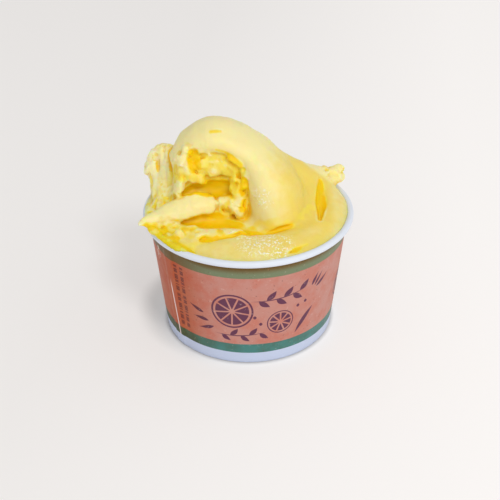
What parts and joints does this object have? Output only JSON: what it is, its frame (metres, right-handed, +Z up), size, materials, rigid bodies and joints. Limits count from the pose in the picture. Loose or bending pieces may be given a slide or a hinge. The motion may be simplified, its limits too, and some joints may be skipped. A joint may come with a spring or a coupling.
{
  "type": "sorbet cup",
  "caption": "Round paper cup with a rolled rim, filled with yellow fruit sorbet that is swept up into a curling wave with torn edges.",
  "frame": {"origin": "centre of the cup's foot, on the surface it stands on", "axes": "+Z up along the cup's axis, -Y to the side that the printed ornament faces, +X to the right of someone who looks at that side"},
  "size_m": [0.085, 0.085, 0.0896],
  "materials": {
    "printed_paper": "satin coated paper, printed outside and white inside and at the rim",
    "white_paper": "satin coated white paper",
    "sorbet": "moist frozen sorbet, smooth where a spatula passed and torn where it was pulled"
  },
  "bodies": {
    "root": {"cup_wall": "printed_paper", "cup_base": "white_paper", "sorbet": "sorbet"}
  },
  "joints": []
}
